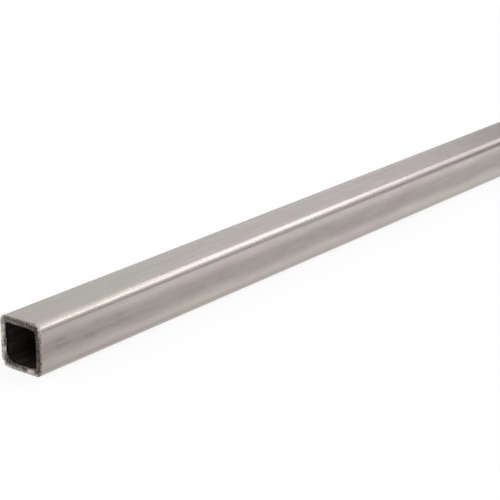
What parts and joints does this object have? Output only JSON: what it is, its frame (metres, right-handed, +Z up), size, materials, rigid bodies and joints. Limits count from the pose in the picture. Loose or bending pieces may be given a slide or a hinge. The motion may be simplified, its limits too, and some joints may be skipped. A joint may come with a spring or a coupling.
{
  "type": "square metal tube",
  "caption": "Straight square steel tube with rounded corners, a square bore open at both ends with a weld bead inside, and plain sawn ends, for frames, legs and rails.",
  "frame": {"origin": "middle of the tube's bottom face, halfway along its length", "axes": "+X along the tube's length, +Y towards the back wall that has the weld bead inside, +Z up from the face the tube lies on"},
  "size_m": [0.3048, 0.0126, 0.0127],
  "materials": {
    "mill_steel": "plain mill finish, satin, drawn lengthwise, sawn ends with a rough burr"
  },
  "bodies": {
    "root": {"square_tube": "mill_steel"}
  },
  "joints": []
}
